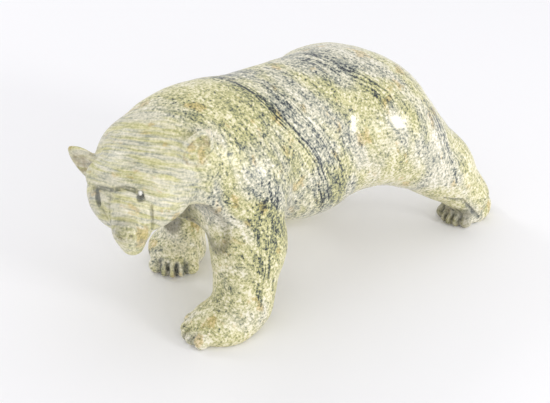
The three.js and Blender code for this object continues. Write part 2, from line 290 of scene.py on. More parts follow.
@dataclass(frozen=True)
class Paw(Mass):
    """A low pad with five toes side by side, each part of it a share of the paw's own size."""

    at: tuple[float, float]
    yaw: float
    length: float
    width: float
    height: float
    pad_back: float = 0.06
    pad_rise: float = 0.36
    pad_radii: Point = (0.5, 0.44, 0.64)
    outermost: int = 2
    toe_pitch: float = 0.148
    toe_radius: float = 0.125
    tip_swell: float = 1.06
    tip_height: float = 0.95
    knuckle_back: float = 0.12
    knuckle_rise: float = 0.55
    knuckle_fall: float = 0.05
    knuckle_gather: float = 0.8
    shortening: float = 0.05
    toe_blend: float = 0.3
    pad_blend: float = 2.6
    slot_radii: Point = (1.15, 3.9, 11.5)
    slot_back: float = 0.4
    # How much shade is painted into the slots between the toes.
    slot_shade: float = 0.15
    slot_rise: float = 7.5
    slot_edge: float = 1.0

    def toe(self, index: int) -> Rod:
        """Gives one toe, from its knuckle to its tip; 0 is the middle one.

        Args:
            index: Which toe, counted from the middle one.

        Returns:
            The toe in the paw's own frame.
        """
        radius = self.width * self.toe_radius
        side = index * self.width * self.toe_pitch
        reach = self.length / 2.0 * (1.0 - self.shortening * index * index)
        rise = self.height * (self.knuckle_rise - self.knuckle_fall * abs(index))
        knuckle = (side * self.knuckle_gather, -self.length * self.knuckle_back, rise)
        tip = (side, radius - reach, radius * self.tip_height)
        return Rod(knuckle, tip, radius, radius * self.tip_swell)

    def distance(self, points: Array) -> Array:
        """Gives the distance of each point to the pad and toes.

        Args:
            points: Places, a row each.

        Returns:
            One signed distance a place, less than nothing inside.
        """
        local = (points - (*self.at, FLOOR)) @ turned(self.yaw)
        sizes = (self.width, self.length, self.height)
        centre = (0.0, self.length * self.pad_back, self.height * self.pad_rise)
        pad = Egg(centre, tuple(size * share for size, share in zip(sizes, self.pad_radii)))
        row = self.toe(-self.outermost).distance(local)
        for index in range(1 - self.outermost, self.outermost + 1):
            row = join(row, self.toe(index).distance(local), self.toe_blend)
        return join(pad.distance(local), row, self.pad_blend)

    def relief(self) -> list[Step]:
        """Gives the thin slots that part the toes from each other.

        Returns:
            One cut between each two toes, in the carver's frame.
        """
        steps = []
        place, turn = (*self.at, FLOOR), (self.yaw, 0.0, 0.0)
        for index in range(-self.outermost, self.outermost):
            between = index + 0.5
            side = between * self.width * self.toe_pitch
            reach = self.length / 2.0 * (1.0 - self.shortening * between ** 2)
            slot = Egg((side, self.slot_back - reach, self.slot_rise), self.slot_radii)
            steps.append(Step(Placed(slot, place, turn), self.slot_edge, Work.CUT))
        return steps

    def ball(self) -> tuple[Array, float]:
        """Gives the ball round the paw's length, height and width."""
        centre = np.array((*self.at, self.height / 2.0))
        return centre, math.hypot(self.length, self.width, self.height) / 2.0


@dataclass(frozen=True)
class Ear(Mass):
    """An upright leaf, hollowed in front; side is 1 for the left ear and -1 for the right one."""

    side: int
    centre: Point
    lean: float
    scale: float
    radii: Point = (15.5, 4.2, 20.0)
    pinch: float = 5.0
    splay: float = 25.0
    edge: float = 0.6
    hollow_centre: Point = (0.0, -4.4, 1.0)
    hollow_radii: Point = (8.6, 3.8, 14.5)
    hollow_soft: float = 1.0

    def local(self, points: Array) -> Array:
        """Gives head-frame points in the ear's own frame."""
        axes = turned(self.side * self.splay, 0.0, self.lean)
        return (points - self.centre) @ axes / self.scale

    def distance(self, points: Array) -> Array:
        """Gives the distance of each point to two crossed leaves less the hollow.

        Args:
            points: Places in the head's frame, a row each.

        Returns:
            One signed distance a place, less than nothing inside.
        """
        local = self.local(points)
        outer = Egg((-self.pinch, 0.0, 0.0), self.radii).distance(local)
        inner = Egg((self.pinch, 0.0, 0.0), self.radii).distance(local)
        leaf = -join(-outer, -inner, self.edge)
        hollow = Egg(self.hollow_centre, self.hollow_radii).distance(local)
        return self.scale * cut(leaf, hollow, self.edge)

    def inside(self, points: Array) -> Array:
        """Says how far each point lies inside the hollow, from 0 to 1."""
        hollow = Egg(self.hollow_centre, self.hollow_radii).distance(self.local(points))
        return fading(np.abs(hollow), self.hollow_soft)


@dataclass(frozen=True)
class Head(Mass):
    """The head in a frame of its own between the ears: turned to its left, nose down, left ear up."""

    place: Point = (5.0, -57.5, 117.3)
    turn: Point = (40.0, 7.5, -13.0)
    skull: Egg = Egg((-0.1, -2.0, -17.0), (29.1, 31.0, 22.5))
    cheeks: Egg = Egg((2.6, -9.0, -21.0), (20.6, 22.5, 13.5))
    cheek_blend: float = 7.0
    under_jaw: Egg = Egg((0.0, -11.0, -50.0), (41.0, 31.0, 28.0), (0.0, 0.0, 6.0))
    jaw_edge: float = 3.0
    throat: Egg = Egg((0.0, -12.5, -51.5), (40.0, 30.0, 28.0), (0.0, 0.0, 6.0))
    muzzle: Rod = Rod((-1.5, -18.0, -13.5), (1.4, -38.5, -17.8), 13.0, 9.3)
    muzzle_blend: float = 1.4
    chin: Rod = Rod((0.0, -18.0, -24.0), (-0.3, -38.8, -28.0), 10.0, 4.8)
    chin_blend: float = 8.0
    nose: Egg = Egg((2.0, -45.3, -13.8), (6.2, 4.0, 4.6))
    nose_blend: float = 1.6
    brow: Egg = Egg((-3.0, -11.0, -0.8), (21.0, 14.5, 4.6), (0.0, 14.0, 0.0))
    brow_blend: float = 2.0
    ears: tuple[Ear, ...] = (
        Ear(-1, (-25.0, 3.0, -9.0), -48.0, 1.0),
        Ear(1, (32.1, 3.9, -4.6), 48.0, 0.74),
    )
    ear_blend: float = 2.4
    brow_line: Chain = Chain(
        ((-18.9, -19.7, -4.4), (-15.4, -21.5, -2.2), (-11.8, -23.0, -2.1), (-7.7, -24.5, -2.4),
         (-3.1, -24.9, -2.0), (0.7, -24.8, -1.8), (4.7, -25.5, -3.1), (8.1, -26.6, -5.1),
         (9.3, -28.2, -7.5)), 1.1)
    eye_slit: Chain = Chain(
        ((-16.6, -21.9, -3.6), (-16.6, -23.6, -6.5), (-16.3, -25.4, -8.9)), 1.9)
    creases: tuple[Chain, ...] = (
        Chain(((-16.3, -25.6, -8.9), (-14.1, -28.2, -11.0), (-12.3, -30.5, -15.3)), 0.6),
        Chain(((12.5, -29.2, -11.5), (12.1, -30.8, -15.4), (11.1, -32.0, -19.7),
               (9.2, -31.8, -25.7)), 0.7),
        Chain(((-7.9, -26.8, -4.8), (-9.1, -29.3, -8.0), (-8.6, -33.4, -11.4),
               (-7.2, -38.6, -13.6)), 0.7),
    )
    line_edge: float = 0.5
    socket: Egg = Egg((8.1, -27.8, -6.0), (1.6, 3.2, 2.1), (0.0, 0.0, 12.0))
    socket_edge: float = 1.0
    eyeball: Egg = Egg((7.9, -25.6, -5.4), (1.0, 1.4, 1.2))
    eyeball_blend: float = 0.4
    nostrils: tuple[Egg, ...] = (
        Egg((-0.7, -48.9, -14.5), (1.1, 1.8, 1.4)),
        Egg((5.1, -48.9, -14.5), (1.1, 1.8, 1.4)),
    )
    nostril_edge: float = 0.6
    reach: float = 62.0

    def local(self, points: Array) -> Array:
        """Gives the carver's points in the head's own frame."""
        return (points - self.place) @ turned(*self.turn)

    def outward(self, point: Point) -> Array:
        """Gives one point of the head's own frame in the carver's frame."""
        return turned(*self.turn) @ np.array(point) + self.place

    def lines(self) -> tuple[Chain, ...]:
        """Gives every line that is cut into the face."""
        return (self.brow_line, self.eye_slit, *self.creases)

    def distance(self, points: Array) -> Array:
        """Gives the distance of each point to the head with its face and ears.

        Args:
            points: Places in the carver's frame, a row each.

        Returns:
            One signed distance a place, less than nothing inside.
        """
        local = self.local(points)
        stone = join(self.skull.distance(local), self.cheeks.distance(local), self.cheek_blend)
        stone = cut(stone, self.under_jaw.distance(local), self.jaw_edge)
        muzzle = join(self.muzzle.distance(local), self.nose.distance(local), self.nose_blend)
        muzzle = join(muzzle, self.chin.distance(local), self.chin_blend)
        stone = join(stone, muzzle, self.muzzle_blend)
        stone = join(stone, self.brow.distance(local), self.brow_blend)
        for ear in self.ears:
            stone = join(stone, ear.distance(local), self.ear_blend)
        return stone

    def relief(self) -> list[Step]:
        """Gives the fine steps of the face: its lines, the left eye and the nostrils.

        Returns:
            The steps in the order in which they are carved, in the carver's frame.
        """
        steps = [Step(line, self.line_edge, Work.CUT) for line in self.lines()]
        steps.append(Step(self.socket, self.socket_edge, Work.CUT))
        steps.append(Step(self.eyeball, self.eyeball_blend))
        steps += [Step(nostril, self.nostril_edge, Work.CUT) for nostril in self.nostrils]
        return [replace(step, mass=Placed(step.mass, self.place, self.turn)) for step in steps]

    def ball(self) -> tuple[Array, float]:
        """Gives the ball round the skull, the snout and both ears."""
        return self.outward(self.skull.centre), self.reach


@dataclass(frozen=True)
class Leg:
    """A leg from the trunk over its middle joint to the ankle, and its paw."""

    joints: tuple[Point, Point, Point]
    radii: Point
    blends: tuple[float, float]
    paw: Paw
    paw_blend: float

    def steps(self) -> list[Step]:
        """Gives the leg's masses, each with the blend that joins it to what is above it.

        Returns:
            The upper leg, the shank and the paw.
        """
        top, middle, ankle = self.joints
        return [
            Step(Rod(top, middle, self.radii[0], self.radii[1]), self.blends[0]),
            Step(Rod(middle, ankle, self.radii[1], self.radii[2]), self.blends[1]),
            Step(self.paw, self.paw_blend),
        ]


@dataclass(frozen=True)
class HandPolish:
    """The slow unevenness that polishing by hand leaves: a few crossed waves."""

    height: float = 0.1
    lengths: tuple[float, ...] = (37.0, 23.0, 14.0)
    seed: int = 11

    def rise(self, points: Array) -> Array:
        """Gives how much the surface stands out at each point, in millimetres.

        Args:
            points: Places, a row each.

        Returns:
            One height a place.
        """
        draw = np.random.default_rng(self.seed)
        total = np.zeros(len(points))
        for length in self.lengths:
            directions = draw.normal(size=(2, 3))
            directions *= 2.0 * math.pi / length / np.linalg.norm(directions, axis=1, keepdims=True)
            phases = draw.uniform(0.0, 2.0 * math.pi, size=2)
            waves = np.sin(points @ directions.T + phases)
            total += waves[:, 0] * waves[:, 1]
        return self.height * total


@dataclass(frozen=True)
class BearForm:
    """The whole bear: every mass in the order in which it melts into the ones before it."""

    barrel: Rod = Rod((0.0, 12.0, 91.5), (0.0, 76.0, 88.0), 39.5, 37.5)
    shoulders: Egg = Egg((-1.0, -10.0, 98.0), (36.0, 35.0, 37.0), (8.0, 0.0, 0.0))
    shoulder_blend: float = 14.0
    belly: Egg = Egg((4.0, 59.0, 68.5), (38.0, 49.0, 33.5))
    belly_blend: float = 14.0
    hips: Egg = Egg((0.0, 100.0, 83.0), (36.5, 37.0, 36.5))
    hip_blend: float = 16.0
    withers: Point = (1.0, -28.0, 101.0)
    withers_radius: float = 34.5
    nape: Point = (0.0, 14.0, -18.0)
    nape_radius: float = 29.0
    neck_blend: float = 12.0
    head: Head = Head()
    throat_blend: float = 4.0
    head_blend: float = 4.0
    legs: tuple[Leg, ...] = (
        Leg(
            joints=((23.0, 0.0, 88.0), (32.0, -3.0, 50.0), (35.0, -10.0, 16.0)),
            radii=(25.0, 19.5, 17.0),
            blends=(11.0, 8.0),
            paw=Paw((32.0, -25.0), -24.0, 44.0, 34.0, 20.0),
            paw_blend=6.0,
        ),
        Leg(
            joints=((-27.0, 2.0, 88.0), (-39.0, 8.0, 50.0), (-41.0, 9.0, 18.0)),
            radii=(23.0, 15.0, 13.0),
            blends=(11.0, 8.0),
            paw=Paw((-39.8, 2.2), 43.0, 43.0, 35.0, 20.0, slot_shade=0.75),
            paw_blend=4.0,
        ),
        Leg(
            joints=((20.5, 106.0, 79.5), (39.0, 144.0, 44.0), (48.0, 163.0, 19.0)),
            radii=(34.0, 18.2, 13.0),
            blends=(16.0, 10.0),
            paw=Paw((43.0, 167.0), 4.0, 36.0, 30.0, 17.0),
            paw_blend=2.5,
        ),
        Leg(
            joints=((-21.0, 98.0, 78.0), (-35.0, 96.0, 40.0), (-39.0, 102.0, 18.0)),
            radii=(33.0, 20.0, 14.0),
            blends=(16.0, 10.0),
            paw=Paw((-39.0, 86.0), 0.0, 44.0, 32.0, 18.0),
            paw_blend=4.0,
        ),
    )
    # A shallow scoop cut into the far leg under the jaw; shade is also painted into it.
    scoop: Egg = Egg((-35.0, -9.0, 33.0), (12.0, 8.0, 11.5))
    scoop_edge: float = 0.8
    hind_crease: Chain = Chain(
        ((52.9, 135.7, 30.3), (56.9, 147.0, 25.8), (57.8, 155.5, 15.5), (56.9, 163.8, 6.0)), 1.0)
    crease_edge: float = 0.6
    polish: HandPolish = HandPolish()

    def steps(self) -> list[Step]:
        """Gives every step after the barrel, in the order in which the masses melt together.

        Returns:
            The steps, in the carver's frame.
        """
        head = self.head
        neck = Rod(self.withers, tuple(head.outward(self.nape)), self.withers_radius, self.nape_radius)
        throat = Placed(head.throat, head.place, head.turn)
        steps = [
            Step(self.shoulders, self.shoulder_blend),
            Step(self.belly, self.belly_blend),
            Step(self.hips, self.hip_blend),
            Step(neck, self.neck_blend),
            Step(throat, self.throat_blend, Work.CUT),
            Step(head, self.head_blend),
        ]
        for leg in self.legs:
            steps.extend(leg.steps())
        return steps

    def distance(self, points: Array) -> Array:
        """Gives the distance of each point to the carving, which stands flat on the floor.

        Args:
            points: Places in the carver's frame, a row each.

        Returns:
            One signed distance a point, without the fine relief.
        """
        stone = self.barrel.distance(points)
        for step in self.steps():
            step.apply(stone, points)
        stone -= self.polish.rise(points)
        return np.maximum(stone, FLOOR - points[:, 2])

    def relief(self) -> list[Step]:
        """Gives the fine steps, which are carved once the net is fine.

        Returns:
            The steps of the face, the throat, the hind leg and the toes.
        """
        steps = self.head.relief()
        steps.append(Step(self.scoop, self.scoop_edge, Work.CUT))
        steps.append(Step(self.hind_crease, self.crease_edge, Work.CUT))
        for leg in self.legs:
            steps.extend(leg.paw.relief())
        return steps

    def finished(self, points: Array) -> Array:
        """Gives the distance of each point to the carving with its fine relief.

        Args:
            points: Places, a row each.

        Returns:
            One signed distance a place, less than nothing inside.
        """
        stone = self.distance(points)
        for step in self.relief():
            step.apply(stone, points)
        return np.maximum(stone, FLOOR - points[:, 2])


@dataclass(frozen=True)
class FineZone:
    """A ball in which the net's edges are kept short."""

    centre: Array
    radius: float
    edge: float


@dataclass
class CarvedNet:
    """A closed net of triangles over a field, finer where the carving is fine.

    Halvings says what a triangle is cut into, by how many of its sides are halved: 0 to 2 are its
    corners and 3 to 5 the middles of its sides.
    """

    field: Field
    finished: Field
    zones: list[FineZone]
    step: float = 1.8
    low: Point = (-65.7, -100.2, -2.7)
    high: Point = (70.0, 194.0, 146.0)
    widest: float = 2.9
    widening: float = 0.22
    split_rounds: int = 3
    relax_rounds: int = 2
    carve_rounds: int = 8
    carve_share: float = 0.9
    deepest: float = 5.0
    probe: float = 0.04
    longest_move: float = 0.7
    least_steepness: float = 0.1
    halvings: tuple[tuple[tuple[int, int, int], ...], ...] = (
        ((0, 1, 2),),
        ((0, 3, 2), (3, 1, 2)),
        ((3, 1, 4), (0, 3, 4), (0, 4, 2)),
        ((3, 4, 5), (0, 3, 5), (1, 4, 3), (2, 5, 4)),
    )

    def sampled(self) -> Array:
        """Gives the field's values at the grid's points, slab by slab.

        Returns:
            One value for each point of the grid.
        """
        axes = [
            np.arange(low, high + self.step, self.step)
            for low, high in zip(self.low, self.high)
        ]
        values = np.empty([len(axis) for axis in axes])
        across = np.stack(np.meshgrid(axes[1], axes[2], indexing="ij"), axis=-1).reshape(-1, 2)
        for index, x in enumerate(axes[0]):
            slab = np.column_stack([np.full(len(across), x), across])
            values[index] = self.field(slab).reshape(values.shape[1:])
        return values

    def netted(self) -> tuple[Array, Array]:
        """Puts a point in each cell that the surface passes through and joins them.

        Returns:
            The points and the triangles, which face outwards.
        """
        values = self.sampled()
        shape = np.array(values.shape) - 1
        total = np.zeros((*shape, 3))
        count = np.zeros(shape)
        for corner in np.ndindex(2, 2, 2):
            for axis in range(3):
                if corner[axis]:
                    continue
                other = tuple(c + (a == axis) for a, c in enumerate(corner))
                here, there = self.shifted(values, corner), self.shifted(values, other)
                crossed = (here < 0) != (there < 0)
                share = np.where(crossed, here / np.where(here == there, 1.0, here - there), 0.0)
                for a in range(3):
                    total[..., a] += crossed * corner[a] + (share if a == axis else 0.0)
                count += crossed
        full = count > 0
        order = np.full(shape, -1)
        order[full] = np.arange(full.sum())
        points = self.low + self.step * (np.argwhere(full) + total[full] / count[full][:, None])
        quads = np.concatenate([self.facing(values < 0, order, axis) for axis in range(3)])
        return points, np.concatenate([quads[:, [0, 1, 2]], quads[:, [0, 2, 3]]])

    @staticmethod
    def shifted(values: Array, corner: tuple[int, ...]) -> Array:
        """Gives the values at one corner of every cell."""
        spans = [slice(c, size - 1 + c) for c, size in zip(corner, values.shape)]
        return values[tuple(spans)]

    @staticmethod
    def facing(inside: Array, order: Array, axis: int) -> Array:
        """Gives the four-sided faces across the grid's edges along one axis.

        Args:
            inside: Whether each point of the grid is in the stone.
            order: The number of each cell's point.
            axis: Which way the edges run.

        Returns:
            Four point numbers a face, in the order that faces outwards.
        """
        start = tuple(slice(0, size - (a == axis)) for a, size in enumerate(inside.shape))
        end = tuple(slice(int(a == axis), size) for a, size in enumerate(inside.shape))
        edges = np.argwhere(inside[start] != inside[end])
        second, third = (axis + 1) % 3, (axis + 2) % 3
        ring = []
        for back, down in ((0, 0), (1, 0), (1, 1), (0, 1)):
            cell = edges.copy()
            cell[:, second] -= back
            cell[:, third] -= down
            ring.append(order[tuple(cell.T)])
        quads = np.stack(ring, axis=1)
        outward = inside[tuple(edges.T)]
        quads[~outward] = quads[~outward][:, ::-1]
        return quads

    def slope(self, points: Array, values: Array) -> Array:
        """Gives the field's gradient at each point, from the values there and a short way off."""
        steps = np.eye(3) * self.probe
        return np.stack([(self.field(points + step) - values) / self.probe for step in steps], axis=1)

    def settled(self, points: Array) -> Array:
        """Moves each point onto the surface along the gradient.

        Args:
            points: Points near the surface.

        Returns:
            The points on the surface.
        """
        values = self.field(points)
        slope = self.slope(points, values)
        steepness = np.maximum(np.square(slope).sum(1), self.least_steepness)
        move = np.clip(values, -self.longest_move, self.longest_move) / steepness
        return points - slope * move[:, None]

    def longest_edge(self, places: Array) -> Array:
        """Gives how long an edge may be at each place.

        Args:
            places: Places, a row each.

        Returns:
            One length a place.
        """
        longest = np.full(len(places), self.widest)
        for zone in self.zones:
            beyond = np.maximum(np.linalg.norm(places - zone.centre, axis=1) - zone.radius, 0.0)
            longest = np.minimum(longest, zone.edge + self.widening * beyond)
        return longest

    def split(self, points: Array, triangles: Array) -> tuple[Array, Array]:
        """Halves each edge that is too long, and keeps the net closed.

        Args:
            points: The net's points.
            triangles: Its triangles.

        Returns:
            The points with the new ones at the end, and the triangles.
        """
        sides = triangles[:, [0, 1, 1, 2, 2, 0]].reshape(-1, 2)
        edges, side_edge = np.unique(np.sort(sides, axis=1), axis=0, return_inverse=True)
        ends = points[edges]
        lengths = np.linalg.norm(ends[:, 0] - ends[:, 1], axis=1)
        middles = ends.mean(axis=1)
        halved = lengths > self.longest_edge(middles)
        number = np.full(len(edges), -1)
        number[halved] = len(points) + np.arange(halved.sum())
        middle = number[side_edge.reshape(-1, 3)]
        cuts = (middle >= 0).sum(axis=1)
        parts = []
        for count, pattern in enumerate(self.halvings):
            six = self.rolled(triangles[cuts == count], middle[cuts == count], first_cut=count != 2)
            parts += [six[:, corners] for corners in pattern]
        return np.concatenate([points, middles[halved]]), np.concatenate(parts)

    @staticmethod
    def rolled(triangles: Array, middle: Array, first_cut: bool) -> Array:
        """Turns triangles so that the first cut side is first, or the only whole side last.

        Args:
            triangles: Their corners.
            middle: The number of the new point on each side, or -1.
            first_cut: Whether a cut side is looked for, and comes first.

        Returns:
            The three corners and the three middles of each turned triangle.
        """
        odd = np.argmax((middle >= 0) == first_cut, axis=1)
        start = odd if first_cut else odd + 1
        columns = (start[:, None] + np.arange(3)) % 3
        rows = np.arange(len(triangles))[:, None]
        return np.hstack([triangles[rows, columns], middle[rows, columns]])

    def relaxed(self, points: Array, triangles: Array) -> Array:
        """Draws each point towards the middle of its neighbours, along the surface.

        Args:
            points: The net's points.
            triangles: Its triangles.

        Returns:
            The points, spaced more evenly.
        """
        starts = triangles.ravel()
        ends = triangles[:, [1, 2, 0]].ravel()
        count = np.bincount(starts, minlength=len(points))
        for _ in range(self.relax_rounds):
            middle = np.column_stack(
                [np.bincount(starts, points[ends, axis], len(points)) / count for axis in range(3)])
            lifted = points[:, 2] > FLOOR + self.probe
            points = self.settled(np.where(lifted[:, None], (points + middle) / 2.0, points))
        return points

    def build(self) -> tuple[Array, Array]:
        """Nets the field, refines the net and lays it on the surface.

        Returns:
            The points in the carver's frame and the triangles.
        """
        points, triangles = self.netted()
        points = self.settled(points)
        for _ in range(self.split_rounds):
            old = len(points)
            points, triangles = self.split(points, triangles)
            points[old:] = self.settled(points[old:])
        points = self.carved(self.settled(self.relaxed(points, triangles)))
        points[points[:, 2] < FLOOR + self.probe, 2] = FLOOR
        return points, triangles

    def carved(self, points: Array) -> Array:
        """Sinks or lifts each point straight through the surface until it meets the fine relief.

        Args:
            points: The net's points, on the plain surface.

        Returns:
            The points on the finished surface.
        """
        fine = self.longest_edge(points) < self.widest
        places = points[fine]
        slope = self.slope(places, self.field(places))
        outward = slope / np.maximum(np.linalg.norm(slope, axis=1, keepdims=True), self.probe)
        depth = np.zeros(len(places))
        for _ in range(self.carve_rounds):
            depth -= self.carve_share * self.finished(places + outward * depth[:, None])
            depth = np.clip(depth, -self.deepest, self.deepest)
        points = points.copy()
        points[fine] = places + outward * depth[:, None]
        return points


@dataclass
class Setting:
    """How the carver's frame, in millimetres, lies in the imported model's frame, in metres."""

    scale: float
    shift: Array

    @classmethod
    def onto(cls, points: Array) -> "Setting":
        """Fits the carving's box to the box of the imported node.

        Args:
            points: The carving's points in the carver's frame.

        Returns:
            The setting that makes the two boxes as long, with one middle and one floor.
        """
        low, high = (np.array(corner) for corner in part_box(NODE))
        own_low, own_high = points.min(axis=0), points.max(axis=0)
        scale = float((high - low)[1] / (own_high - own_low)[1])
        shift = (low + high) / 2.0 - scale * (own_low + own_high) / 2.0
        shift[2] = low[2] - scale * own_low[2]
        return cls(scale, shift)

    def place(self, points: Array) -> Array:
        """Gives carver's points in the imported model's frame."""
        return np.asarray(points) * self.scale + self.shift


def linear(code: str) -> tuple[float, float, float, float]:
    """Gives a screen colour such as "c8c496" as the shader's own red, green, blue and alpha."""
    screen = Color([channel / 255.0 for channel in bytes.fromhex(code)])
    return (*screen.from_srgb_to_scene_linear(), 1.0)


class Mix(Enum):
    """What is mixed, and how."""

    COLOUR = {"data_type": "RGBA", "blend_type": "MIX"}
    STAIN = {"data_type": "RGBA", "blend_type": "MULTIPLY"}
    VALUE = {"data_type": "FLOAT", "blend_type": "MIX"}


@dataclass(frozen=True)
class Grain:
    """A noise in the stone, drawn out along its layers and thin across them.

    The size is that of its largest grains in millimetres, octaves says how many finer ones it has,
    seed which of its slices is read, and harshness how strong each finer octave is.
    """

    size: float
    octaves: float
    seed: float
    along: float = 1.0
    across: float = 1.0
    harshness: float = 0.5


@dataclass(frozen=True)
class Patch:
    """A ball of the stone in which something is different, up to a core where it is so in full."""

    middle: Point
    reach: float
    core: float = 0.6


@dataclass(frozen=True)
class Vein:
    """A dark sheet of slate in the stone that comes to the surface as a string of specks."""

    patch: Patch
    normal: Point
    half_width: float
    strength: float


@dataclass(frozen=True)
class Tone:
    """One stop on the way from the stone's darkest mineral to its palest."""

    at: float
    colour: str


class Bench:
    """Adds shader nodes to one material and joins them up."""

    def __init__(self, name: str) -> None:
        """Makes an empty material with a shader and an output.

        Args:
            name: The material's name.
        """
        self.material = bpy.data.materials.new(name)
        self.material.use_nodes = True
        self.tree = self.material.node_tree
        self.tree.nodes.clear()
        self.shader = self.tree.nodes.new("ShaderNodeBsdfPrincipled")
        output = self.tree.nodes.new("ShaderNodeOutputMaterial")
        self.tree.links.new(self.shader.outputs["BSDF"], output.inputs["Surface"])

    def feed(self, node: bpy.types.Node, inputs: Inputs) -> None:
        """Joins outputs to a node's sockets, or writes plain values into them.

        Args:
            node: The node.
            inputs: Outputs or plain values, by the name or number of the socket.
        """
        for key, value in inputs.items():
            if isinstance(value, Socket):
                self.tree.links.new(value, node.inputs[key])
            else:
                node.inputs[key].default_value = value

    def made(self, kind: str, output: str | int, inputs: Inputs, **settings: object) -> Socket:
        """Adds one node.

        Args:
            kind: What kind of node it is.
            output: The name or number of the output that is wanted.
            inputs: Outputs or plain values, by the name or number of the socket.
            settings: The node's settings by name.

        Returns:
            The output.
        """
        node = self.tree.nodes.new(kind)
        for name, value in settings.items():
            setattr(node, name, value)
        self.feed(node, inputs)
        return node.outputs[output]

    def math(self, operation: str, *values: object) -> Socket:
        """Works out one, two or three values."""
        return self.made("ShaderNodeMath", 0, dict(enumerate(values)), operation=operation)

    def vector(self, operation: str, *vectors: object) -> Socket:
        """Works out two vectors; a dot product or a distance gives a plain value."""
        output = "Value" if operation in ("DOT_PRODUCT", "DISTANCE") else "Vector"
        return self.made("ShaderNodeVectorMath", output, dict(enumerate(vectors)), operation=operation)

    def scaled(self, vector: object, factor: float) -> Socket:
        """Makes a vector longer or shorter."""
        inputs = {0: vector, "Scale": factor}
        return self.made("ShaderNodeVectorMath", "Vector", inputs, operation="SCALE")

    def noise(self, place: object, grain: Grain, colour: bool = False) -> Socket:
        """Adds noise, about NOISE_MIDDLE on average.

        Args:
            place: Place in millimetres.
            grain: What the noise is like.
            colour: Whether three values are wanted, as a vector.

        Returns:
            The noise's value or vector.
        """
        inputs = {
            "Vector": place,
            "W": grain.seed,
            "Scale": 1.0 / grain.size,
            "Detail": grain.octaves,
            "Roughness": grain.harshness,
        }
        output = "Color" if colour else "Fac"
        return self.made("ShaderNodeTexNoise", output, inputs, noise_dimensions="4D")

    def rise(self, value: object, low: float, high: float) -> Socket:
        """Passes a value from 0 at low to 1 at high, which may be the lesser, with soft ends."""
        inputs = {"Value": value, "From Min": low, "From Max": high}
        return self.made("ShaderNodeMapRange", "Result", inputs, interpolation_type="SMOOTHSTEP")

    def swing(self, noise: object, gain: float, share: object = 1.0) -> Socket:
        """Gives how far a noise stands above or below its middle, made larger and then held back."""
        away = self.math("MULTIPLY", self.math("SUBTRACT", noise, NOISE_MIDDLE), gain)
        return self.math("MULTIPLY", away, share)

    def ramp(self, value: object, tones: tuple[Tone, ...]) -> Socket:
        """Turns a value into a colour by way of the given tones.

        Args:
            value: A value from 0 to 1.
            tones: The colours on the way, in order.

        Returns:
            The colour.
        """
        node = self.tree.nodes.new("ShaderNodeValToRGB")
        stops = node.color_ramp.elements
        while len(stops) < len(tones):
            stops.new(1.0)
        for stop, tone in zip(stops, tones):
            stop.position = tone.at
            stop.color = linear(tone.colour)
        self.feed(node, {"Fac": value})
        return node.outputs["Color"]

    def mix(self, share: object, first: object, second: object, how: Mix = Mix.COLOUR) -> Socket:
        """Mixes two colours or two plain values; a share of 0 gives the first."""
        inputs = {"Factor": share, "A": first, "B": second}
        return self.made("ShaderNodeMix", "Result", inputs, **how.value)


class StoneBench(Bench):
    """A bench for one block of stone: it knows the place in it, also with the layers bent."""

    def __init__(self, name: str, setting: Setting, bends: tuple[tuple[Grain, float], ...]) -> None:
        """Makes the material, finds the place in the carver's millimetres and bends the layers.

        Args:
            name: The material's name.
            setting: How the carver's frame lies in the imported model's frame.
            bends: A noise and how far it bends the layers, widely first and then a little more.
        """
        super().__init__(name)
        place = self.made("ShaderNodeTexCoord", "Object", {})
        moved = self.vector("SUBTRACT", place, tuple(setting.shift))
        self.place = self.bent = self.scaled(moved, 1.0 / setting.scale)
        for grain, bend in bends:
            noise = self.noise(self.bent, grain, colour=True)
            wander = self.vector("SUBTRACT", noise, (NOISE_MIDDLE,) * 3)
            self.bent = self.vector("ADD", self.bent, self.scaled(wander, bend))

    def near(self, patch: Patch) -> Socket:
        """Gives 1 in the middle of a patch and 0 outside it."""
        away = self.vector("DISTANCE", self.place, patch.middle)
        return self.rise(away, patch.reach, patch.core * patch.reach)

    def layer(self, grain: Grain, facing: Point) -> Socket:
        """Gives a noise that lies in layers.

        Args:
            grain: What the noise is like.
            facing: The layers' normal.

        Returns:
            The noise's value.
        """
        normal = Vector(facing).normalized()
        first = normal.cross(Vector((0.0, 0.0, 1.0))).normalized()
        second = normal.cross(first)
        axes = (first / grain.along, second / grain.along, normal / grain.across)
        runs = [self.vector("DOT_PRODUCT", self.bent, tuple(axis)) for axis in axes]
        squeezed = self.made("ShaderNodeCombineXYZ", 0, dict(enumerate(runs)))
        return self.noise(squeezed, grain)


